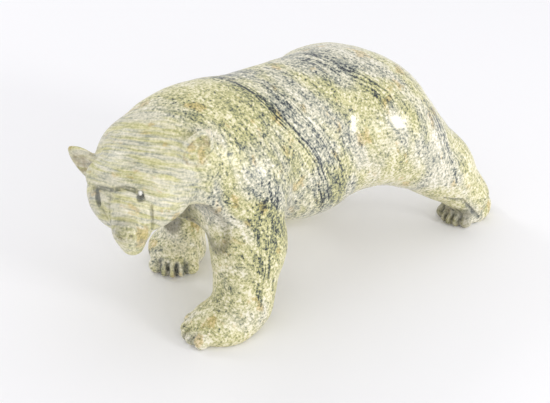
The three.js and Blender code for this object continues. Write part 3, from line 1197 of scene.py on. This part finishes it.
@dataclass(frozen=True)
class Soapstone:
    """Polished yellow-green soapstone with cream patches, slate streaks and fine specks."""

    name: str = "Soapstone"
    yellow_tones: tuple[Tone, ...] = (
        Tone(0.0, "24282a"),
        Tone(0.14, "515850"),
        Tone(0.27, "878a68"),
        Tone(0.42, "aeac78"),
        Tone(0.56, "c8c48e"),
        Tone(0.74, "e0d9ae"),
        Tone(0.92, "f2ecd2"),
    )
    grey_tones: tuple[Tone, ...] = (
        Tone(0.0, "22272c"),
        Tone(0.14, "4d5559"),
        Tone(0.27, "82867e"),
        Tone(0.42, "a9aa98"),
        Tone(0.56, "c9c6b0"),
        Tone(0.74, "e3ddc6"),
        Tone(0.92, "f5f1e4"),
    )
    peach: str = "ecd3a4"
    # Painted shade in the right eye's slit and the left eye's socket.
    socket_shade: str = "2f3a46"
    # Slate-grey painted shade in hollows, grooves and creases.
    slate: str = "3f4950"
    # Painted shade under the jaw, in the scoop and on the left hind toes; also the darker nose.
    shade: str = "57523f"
    # Painted glint on the left eyeball and round the left ear's rim.
    glint_pale: str = "eceae2"
    # Brown of the ears' hollows, partly the stone's tone and partly painted shade.
    ear_brown_and_shade: str = "8f7a58"
    layer_normal: Point = (0.37, -0.9, -0.23)
    head_normal: Point = (0.3, -0.5, -0.81)
    bends: tuple[tuple[Grain, float], ...] = (
        (Grain(70.0, 1.0, 3.0), 22.0),
        (Grain(16.0, 1.0, 7.0), 5.0),
    )
    specks: Grain = Grain(1.3, 3.0, 41.0, harshness=0.6)
    speck_gain: float = 2.3
    bands: Grain = Grain(12.0, 3.0, 1.0, 2.6, 0.8)
    band_gain: float = 0.75
    lines: Grain = Grain(2.0, 3.0, 5.0, 7.0, 0.8)
    head_lines: Grain = Grain(1.4, 3.0, 6.0, 6.0, 0.8)
    line_gain: float = 0.85
    threads: Grain = Grain(1.8, 2.0, 25.0, 10.0, 0.8)
    thread_rise: tuple[float, float] = (0.44, 0.58)
    clouds: Grain = Grain(20.0, 4.0, 12.0, 2.4, 0.9)
    cloud_rise: tuple[float, float] = (0.48, 0.64)
    flank_cloud: float = 0.11
    head_clouds: Grain = Grain(2.8, 4.0, 14.0, 7.0, 0.9)
    head_cloud_gain: float = 0.7
    head_cloud: float = 0.585
    flecks: Grain = Grain(8.0, 4.0, 53.0, 1.6, 0.9)
    fleck_rise: tuple[float, float] = (0.58, 0.66)
    fleck_share: float = 0.6
    # A patchy noise that breaks up the painted shade and brown of the ears, hollows and lines.
    breakup_grain: Grain = Grain(2.2, 3.0, 71.0)
    breakup_rise: tuple[float, float] = (0.3, 0.62)
    balance: float = 0.57
    calm: float = 0.35
    head: Patch = Patch((8.0, -66.0, 106.0), 50.0)
    flank: Patch = Patch((35.0, 80.0, 85.0), 85.0)
    shoulder: Patch = Patch((35.0, 20.0, 95.0), 70.0)
    thigh: Patch = Patch((45.0, 95.0, 90.0), 75.0)
    shoulder_drop: float = 0.06
    leg_lift: float = 0.08
    pale_below: float = 75.0
    palest_below: float = 35.0
    roughness: float = 0.24
    dull_roughness: float = 0.36
    dull_rise: tuple[float, float] = (0.27, 0.0)
    specular: float = 0.5
    coat: float = 0.35
    dull_coat: float = 0.06
    coat_roughness: float = 0.1
    unevenness: Grain = Grain(1.4, 3.0, 61.0)
    bump_height: float = 0.00005
    vein_edge: float = 2.4
    vein_core: float = 0.3
    veins: tuple[Vein, ...] = (
        Vein(Patch((34.0, 33.0, 108.0), 90.0), (0.37, -0.9, -0.23), 3.4, 0.4),
        Vein(Patch((26.0, 40.0, 117.0), 80.0), (0.37, -0.9, -0.23), 2.4, 0.36),
        Vein(Patch((20.0, 82.0, 120.0), 40.0), (0.3, -0.85, -0.42), 3.8, 0.36),
        Vein(Patch((47.0, 130.0, 75.0), 45.0), (0.33, -0.93, -0.15), 2.8, 0.36),
        Vein(Patch((48.0, -2.0, 60.0), 48.0), (0.61, 0.785, -0.12), 4.2, 0.34),
    )

    def build(self, setting: Setting) -> bpy.types.Material:
        """Makes the material.

        Args:
            setting: How the carver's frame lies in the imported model's frame.

        Returns:
            The finished material.
        """
        bench = StoneBench(self.name, setting, self.bends)
        mineral = self.mineral(bench)
        thigh = bench.near(self.thigh)
        polished = bench.math("SUBTRACT", 1.0, bench.rise(mineral, *self.dull_rise))
        shine = bench.math("MULTIPLY", thigh, polished)
        bench.feed(bench.shader, {
            "Base Color": self.with_painted_light(bench, self.coloured(bench, mineral)),
            "Roughness": bench.mix(shine, self.dull_roughness, self.roughness, Mix.VALUE),
            "Specular IOR Level": self.specular,
            "Coat Weight": bench.mix(thigh, self.dull_coat, self.coat, Mix.VALUE),
            "Coat Roughness": self.coat_roughness,
            "Normal": self.polish(bench),
        })
        return bench.material

    def mineral(self, bench: StoneBench) -> Socket:
        """Gives how pale the mineral is at each place, from dark specks to cream.

        Args:
            bench: Where the nodes are made.

        Returns:
            A value from about 0, the darkest specks, to 1, the palest flecks.
        """
        head = bench.near(self.head)
        lively = bench.mix(head, 1.0, self.calm, Mix.VALUE)
        body_lines = bench.layer(self.lines, self.layer_normal)
        head_lines = bench.layer(self.head_lines, self.head_normal)
        swings = (
            bench.swing(bench.noise(bench.place, self.specks), self.speck_gain, lively),
            bench.swing(bench.layer(self.bands, self.layer_normal), self.band_gain, lively),
            bench.swing(bench.mix(head, body_lines, head_lines, Mix.VALUE), self.line_gain),
        )
        value = self.poise(bench)
        for swing in swings:
            value = bench.math("ADD", value, swing)
        for vein in self.veins:
            value = bench.math("SUBTRACT", value, self.vein_share(bench, vein))
        return value

    def poise(self, bench: StoneBench) -> Socket:
        """Gives the mean mineral: darker behind the shoulder, paler in the legs.

        Args:
            bench: Where the nodes are made.

        Returns:
            The mineral's value before its specks, bands and veins.
        """
        height = bench.vector("DOT_PRODUCT", bench.place, (0.0, 0.0, 1.0))
        low = bench.rise(height, self.pale_below, self.palest_below)
        paler = bench.math("MULTIPLY", low, self.leg_lift)
        darker = bench.math("MULTIPLY", bench.near(self.shoulder), self.shoulder_drop)
        return bench.math("ADD", self.balance, bench.math("SUBTRACT", paler, darker))

    def vein_share(self, bench: StoneBench, vein: Vein) -> Socket:
        """Gives how much one vein darkens each place: a sheet of dark threads within its patch.

        Args:
            bench: Where the nodes are made.
            vein: The vein.

        Returns:
            How much darker the mineral is, from 0 to the vein's strength.
        """
        normal = Vector(vein.normal).normalized()
        run = bench.vector("DOT_PRODUCT", bench.bent, tuple(normal))
        level = normal.dot(Vector(vein.patch.middle))
        offset = bench.math("ABSOLUTE", bench.math("SUBTRACT", run, level))
        share = bench.rise(offset, self.vein_edge * vein.half_width, self.vein_core * vein.half_width)
        thread = bench.rise(bench.layer(self.threads, vein.normal), *self.thread_rise)
        for factor in (bench.near(vein.patch), vein.strength, thread):
            share = bench.math("MULTIPLY", share, factor)
        return share

    def coloured(self, bench: StoneBench, mineral: Socket) -> Socket:
        """Gives the mineral its colours: yellow-green, clouds of grey-white, and peach flecks.

        Args:
            bench: Where the nodes are made.
            mineral: How pale the mineral is.

        Returns:
            The colour of the clean stone.
        """
        lift = bench.math("MULTIPLY", bench.near(self.flank), self.flank_cloud)
        body_clouds = bench.math("ADD", bench.layer(self.clouds, self.layer_normal), lift)
        swing = bench.swing(bench.layer(self.head_clouds, self.head_normal), self.head_cloud_gain)
        head_clouds = bench.math("ADD", swing, self.head_cloud)
        clouds = bench.mix(bench.near(self.head), body_clouds, head_clouds, Mix.VALUE)
        yellow, grey = (bench.ramp(mineral, tones) for tones in (self.yellow_tones, self.grey_tones))
        colour = bench.mix(bench.rise(clouds, *self.cloud_rise), yellow, grey)
        fleck = bench.rise(bench.layer(self.flecks, self.layer_normal), *self.fleck_rise)
        stained = bench.mix(1.0, colour, linear(self.peach), Mix.STAIN)
        return bench.mix(bench.math("MULTIPLY", fleck, self.fleck_share), colour, stained)

    def with_painted_light(self, bench: StoneBench, colour: Socket) -> Socket:
        """Paints shade into hollows, lines and undercuts, glints on the eye and ear, and brown ears.

        Args:
            bench: Where the nodes are made.
            colour: The colour of the clean stone.

        Returns:
            The colour of the stone with its painted shade and glints.
        """
        # A patchy noise breaks up the painted shade and brown of the ears, hollows and lines.
        breakup = bench.rise(bench.noise(bench.place, self.breakup_grain), *self.breakup_rise)
        # Painted shade in undercuts, hollows, lines and the eye socket; brown ears, partly painted
        # shade; a painted glint on the eye and ear rim.
        masks = (
            ("painted_shade_and_nose", self.shade, 1.0),
            ("ear", self.ear_brown_and_shade, breakup),
            ("hollow", self.slate, breakup),
            ("line", self.slate, breakup),
            ("socket", self.socket_shade, 1.0),
            ("eye", self.glint_pale, 1.0),
        )
        for name, tone, left in masks:
            mask = bench.made("ShaderNodeAttribute", "Fac", {}, attribute_name=name)
            colour = bench.mix(bench.math("MULTIPLY", mask, left), colour, linear(tone))
        return colour

    def polish(self, bench: StoneBench) -> Socket:
        """Gives the polished face its slight unevenness."""
        inputs = {"Distance": self.bump_height, "Height": bench.noise(bench.place, self.unevenness)}
        return bench.made("ShaderNodeBump", "Normal", inputs)


@dataclass(frozen=True)
class PalePaper:
    """The dull, pale surface that the carving stands on."""

    name: str = "Pale paper"
    tone: tuple[float, float, float] = (0.915, 0.91, 0.93)
    roughness: float = 0.9
    specular: float = 0.2

    def build(self) -> bpy.types.Material:
        """Makes the material.

        Returns:
            The finished material.
        """
        bench = Bench(self.name)
        bench.feed(bench.shader, {
            "Base Color": (*self.tone, 1.0),
            "Roughness": self.roughness,
            "Specular IOR Level": self.specular,
        })
        return bench.material


@dataclass
class Carving:
    """The bear itself: one mesh that takes the place of the plain solid.

    Each zone is the radius of a ball in which the net is fine, and how long an edge may be there.
    """

    form: BearForm
    finish: Soapstone
    face_zone: tuple[float, float] = (24.0, 0.9)
    eye_zone: tuple[float, float] = (5.0, 0.5)
    nostril_zone: tuple[float, float] = (3.0, 0.5)
    ear_zone: tuple[float, float] = (14.0, 0.9)
    scoop_zone: tuple[float, float] = (12.0, 0.9)
    crease_zone: tuple[float, float] = (7.0, 0.9)
    line_zone: tuple[float, float] = (3.2, 0.6)
    toe_share: float = 0.62
    toe_edge: float = 0.55
    mark_soft: float = 1.0
    # How brown the ears' hollows are, partly as painted shade.
    ear_brown_share: float = 0.55
    # Painted glint: a pale band round the left ear's rim, and a pale left eyeball.
    rim_glint_share: float = 0.35
    eye_soft: float = 0.5
    # Painted shade in the face's lines, and below in the hind leg's crease.
    line_shade: tuple[float, ...] = (0.35, 0.25, 0.2, 0.2)
    crease_shade: float = 0.6
    # Painted shade fills the eye slit and the left eye's socket.
    socket_inset: float = 0.4
    # Painted shade on the jaw's underside and in the scoop below it; the nose is darker too.
    undercut_soft: float = 3.0
    undercut_facing: float = 2.5
    undercut_share: float = 0.7
    scoop_soft: float = 2.0
    nose_skin: Egg = Egg((1.0, -43.0, -14.0), (8.5, 8.5, 7.5))
    nose_soft: float = 2.5
    nose_share: float = 0.3
    # Painted shadow of the shank on the left hind toes.
    hind_toe_shadow: Egg = Egg((43.0, 152.0, 8.0), (20.0, 11.0, 14.0))
    hind_toe_shadow_soft: float = 4.0
    hind_toe_shadow_share: float = 0.5
    # Painted shade in recesses, found a short way out from the surface.
    hollow_probe: float = 1.6
    hollow_power: float = 1.5
    hollow_shade_share: float = 0.5

    def zones(self) -> list[FineZone]:
        """Gives the balls in which the net is fine: the face, the eyes, the ears and the toes.

        Returns:
            The zones, in the carver's frame.
        """
        head = self.form.head
        on_head = [(head.muzzle.end, self.face_zone), (head.eyeball.centre, self.eye_zone)]
        on_head += [(nostril.centre, self.nostril_zone) for nostril in head.nostrils]
        on_head += [(ear.centre, self.ear_zone) for ear in head.ears]
        on_head += [(middle, self.line_zone) for line in head.lines() for middle in line.middles()]
        zones = [FineZone(head.outward(centre), *zone) for centre, zone in on_head]
        zones.append(FineZone(np.array(self.form.scoop.centre), *self.scoop_zone))
        zones += [FineZone(middle, *self.crease_zone) for middle in self.form.hind_crease.middles()]
        for leg in self.form.legs:
            for step in leg.paw.relief():
                centre, radius = step.mass.ball()
                zones.append(FineZone(centre, radius * self.toe_share, self.toe_edge))
        return zones

    def build(self) -> tuple[bpy.types.Object, Setting]:
        """Makes the mesh, sets it on the frame and gives it its finish.

        Returns:
            The object and how the carver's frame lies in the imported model's frame.
        """
        net = CarvedNet(self.form.distance, self.form.finished, self.zones())
        points, triangles = net.build()
        setting = Setting.onto(points)
        mesh = bpy.data.meshes.new("bear_carving")
        mesh.from_pydata(setting.place(points), [], triangles)
        mesh.shade_smooth()
        for name, values in self.masks(net, points).items():
            attribute = mesh.attributes.new(name, "FLOAT", "POINT")
            attribute.data.foreach_set("value", values.astype(np.float32))
        mesh.materials.append(self.finish.build(setting))
        carving = bpy.data.objects.new("bear_carving", mesh)
        bpy.context.scene.collection.objects.link(carving)
        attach(carving, BODY)
        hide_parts(NODE)
        self.report(points, triangles)
        return carving, setting

    def masks(self, net: CarvedNet, points: Array) -> dict[str, Array]:
        """Says where shade and glints are painted, and where the ears' hollows turn brown.

        Args:
            net: The net, which can give the slope.
            points: The mesh's points in the carver's frame.

        Returns:
            A value from 0 to 1 for each point, by the name of the mask.
        """
        slope = net.slope(points, net.field(points))
        outward = slope / np.maximum(np.linalg.norm(slope, axis=1, keepdims=True), TINY)
        # Painted shade in recesses: the more the stone closes round a point a little way out, the
        # darker.
        hollow = fading(net.finished(points + outward * self.hollow_probe), self.hollow_probe)
        hollow[points[:, 2] < FLOOR + self.hollow_probe] = 0.0
        head = self.form.head
        local = head.local(points)
        # The ears' hollows, painted brown and partly as shade.
        ear = np.maximum.reduce([ear.inside(local) for ear in head.ears])
        # Painted glint: pale on the left eyeball and in a band round the left ear's rim.
        rim = fading(np.abs(head.ears[-1].distance(local)), self.mark_soft) - ear
        eye = np.maximum(fading(head.eyeball.distance(local), self.eye_soft), self.rim_glint_share * rim)
        # Painted shade in the right eye's slit and the left eye's socket.
        socket = np.minimum(head.eye_slit.distance(local), head.socket.distance(local))
        return {
            "hollow": self.hollow_shade_share * hollow ** self.hollow_power,
            "ear": self.ear_brown_share * ear,
            "eye": eye,
            "line": self.groove_shade_mask(points, local),
            "socket": fading(socket + self.socket_inset, self.mark_soft),
            "painted_shade_and_nose": self.shade_mask(points, local, outward),
        }

    def groove_shade_mask(self, points: Array, local: Array) -> Array:
        """Says how much shade is painted into the face's lines, the toes' slots and the left hind
        crease.

        Args:
            points: The mesh's points in the carver's frame.
            local: The same points in the head's frame.

        Returns:
            A value from 0 to 1 for each point.
        """
        head = self.form.head
        lines = zip((head.brow_line, *head.creases), self.line_shade)
        marks = [(line.distance(local), darkness) for line, darkness in lines]
        marks.append((self.form.hind_crease.distance(points), self.crease_shade))
        for leg in self.form.legs:
            marks += [(step.mass.distance(points), leg.paw.slot_shade) for step in leg.paw.relief()]
        return np.maximum.reduce([darkness * fading(away, self.mark_soft) for away, darkness in marks])

    def shade_mask(self, points: Array, local: Array, outward: Array) -> Array:
        """Says how much shade is painted below the jaw, in the scoop and on the left hind toes, and
        how dark the nose is.

        Args:
            points: The mesh's points in the carver's frame.
            local: The same points in the head's frame.
            outward: The surface's normal at each point.

        Returns:
            A value from 0 to 1 for each point.
        """
        head = self.form.head
        # Painted shade on the jaw's underside where it faces down into the throat.
        away = head.throat.distance(local)
        inward = head.throat.distance(local + outward @ turned(*head.turn)) - away
        facing = np.clip(-self.undercut_facing * inward - 1.0, 0.0, 1.0)
        throat = facing * fading(np.abs(away), self.undercut_soft)
        # Painted shade in the scoop below the jaw.
        scoop = fading(self.form.scoop.distance(points), self.scoop_soft)
        # The nose is darker.
        nose = fading(self.nose_skin.distance(local) + self.nose_soft, self.nose_soft)
        # Painted shadow of the shank on the left hind toes.
        toes = fading(self.hind_toe_shadow.distance(points) + self.hind_toe_shadow_soft, self.hind_toe_shadow_soft)
        return np.maximum.reduce([
            self.undercut_share * throat,
            self.undercut_share * scoop,
            self.nose_share * nose,
            self.hind_toe_shadow_share * toes,
        ])

    @staticmethod
    def report(points: Array, triangles: Array) -> None:
        """Logs how many triangles there are and whether every edge has two.

        Args:
            points: The mesh's points.
            triangles: Its triangles.
        """
        sides = np.sort(triangles[:, [0, 1, 1, 2, 2, 0]].reshape(-1, 2), axis=1)
        _, shared = np.unique(sides, axis=0, return_counts=True)
        log.info("carving: %d points, %d triangles, %d open edges",
                 len(points), len(triangles), int((shared != 2).sum()))


@dataclass(frozen=True)
class SoftBox:
    """A rectangular lamp that shines at the carving: degrees round and up, metres away, watts."""

    name: str
    azimuth: float
    elevation: float
    away: float
    size: tuple[float, float]
    power: float


@dataclass
class Studio:
    """The pale floor, the soft lights and the camera round the carving."""

    setting: Setting
    aim: Point = (4.1, 41.8, 45.0)
    azimuth: float = 48.0
    elevation: float = 33.0
    distance: float = 850.0
    field_width: float = 320.0
    sensor: float = 36.0
    floor_half: float = 2.5
    paper: PalePaper = PalePaper()
    surround_tone: tuple[float, float, float] = (0.99, 0.99, 1.0)
    surround: float = 0.905
    lamps: tuple[SoftBox, ...] = (
        SoftBox("right_box", 108.0, 20.0, 1.1, (0.2, 0.24), 3.1),
        SoftBox("front_box", 80.0, 17.0, 1.2, (0.4, 0.3), 0.9),
        SoftBox("left_box", 285.0, 40.0, 1.2, (0.3, 0.3), 1.6),
    )

    @staticmethod
    def direction(azimuth: float, elevation: float) -> Array:
        """Gives the way from the carving to a light or the camera; 0 is in front of the bear.

        Args:
            azimuth: Degrees round the carving.
            elevation: Degrees above the floor.

        Returns:
            A direction of length 1.
        """
        turn, rise = math.radians(azimuth), math.radians(elevation)
        level = math.cos(rise)
        return np.array((math.sin(turn) * level, -math.cos(turn) * level, math.sin(rise)))

    def hang(self, name: str, data: object, azimuth: float, elevation: float,
             away: float) -> bpy.types.Object:
        """Hangs a lamp or the camera so that it looks at the carving.

        Args:
            name: The object's name.
            data: The lamp or the camera.
            azimuth: Where it hangs round the carving, in degrees.
            elevation: How high it hangs, in degrees.
            away: Its distance in metres.

        Returns:
            The object that hangs there.
        """
        hung = bpy.data.objects.new(name, data)
        back = self.direction(azimuth, elevation)
        hung.location = self.setting.place(self.aim) + back * away
        hung.rotation_euler = Vector(back).to_track_quat("Z", "Y").to_euler()
        bpy.context.scene.collection.objects.link(hung)
        log.info("%s: azimuth %.0f, elevation %.0f", name, azimuth, elevation)
        return hung

    def camera(self) -> None:
        """Sets up the camera at the photograph's viewing angle."""
        data = bpy.data.cameras.new("camera")
        data.sensor_width = self.sensor
        data.lens = self.sensor * self.distance / self.field_width
        away = self.setting.scale * self.distance
        bpy.context.scene.camera = self.hang("camera", data, self.azimuth, self.elevation, away)

    def light(self, lamp: SoftBox) -> None:
        """Hangs one soft box.

        Args:
            lamp: Where it hangs, how wide it is and how strong.
        """
        data = bpy.data.lights.new(lamp.name, "AREA")
        data.shape = "RECTANGLE"
        data.size, data.size_y = lamp.size
        data.energy = lamp.power
        self.hang(lamp.name, data, lamp.azimuth, lamp.elevation, lamp.away)

    def floor(self) -> None:
        """Lays the pale floor under the carving."""
        half = self.floor_half
        corners = [(-half, -half, 0.0), (half, -half, 0.0), (half, half, 0.0), (-half, half, 0.0)]
        mesh = bpy.data.meshes.new("floor")
        mesh.from_pydata(corners, [], [(0, 1, 2, 3)])
        mesh.materials.append(self.paper.build())
        floor = bpy.data.objects.new("floor", mesh)
        bpy.context.scene.collection.objects.link(floor)
        log.info("floor: %.1f m wide", 2.0 * half)

    def surroundings(self) -> None:
        """Gives the room an even pale light and a plain screen tone."""
        world = bpy.data.worlds.new("pale_room")
        world.use_nodes = True
        background = world.node_tree.nodes["Background"]
        background.inputs["Color"].default_value = (*self.surround_tone, 1.0)
        background.inputs["Strength"].default_value = self.surround
        bpy.context.scene.world = world
        bpy.context.scene.view_settings.view_transform = "Standard"

    def build(self) -> None:
        """Makes the floor, the lights and the camera."""
        self.floor()
        self.surroundings()
        for lamp in self.lamps:
            self.light(lamp)
        self.camera()


def main() -> None:
    """Builds the carving and the studio."""
    logging.basicConfig(level=logging.INFO, format="%(name)s %(message)s")
    _, setting = Carving(BearForm(), Soapstone()).build()
    Studio(setting).build()


if __name__ == "__main__":
    main()
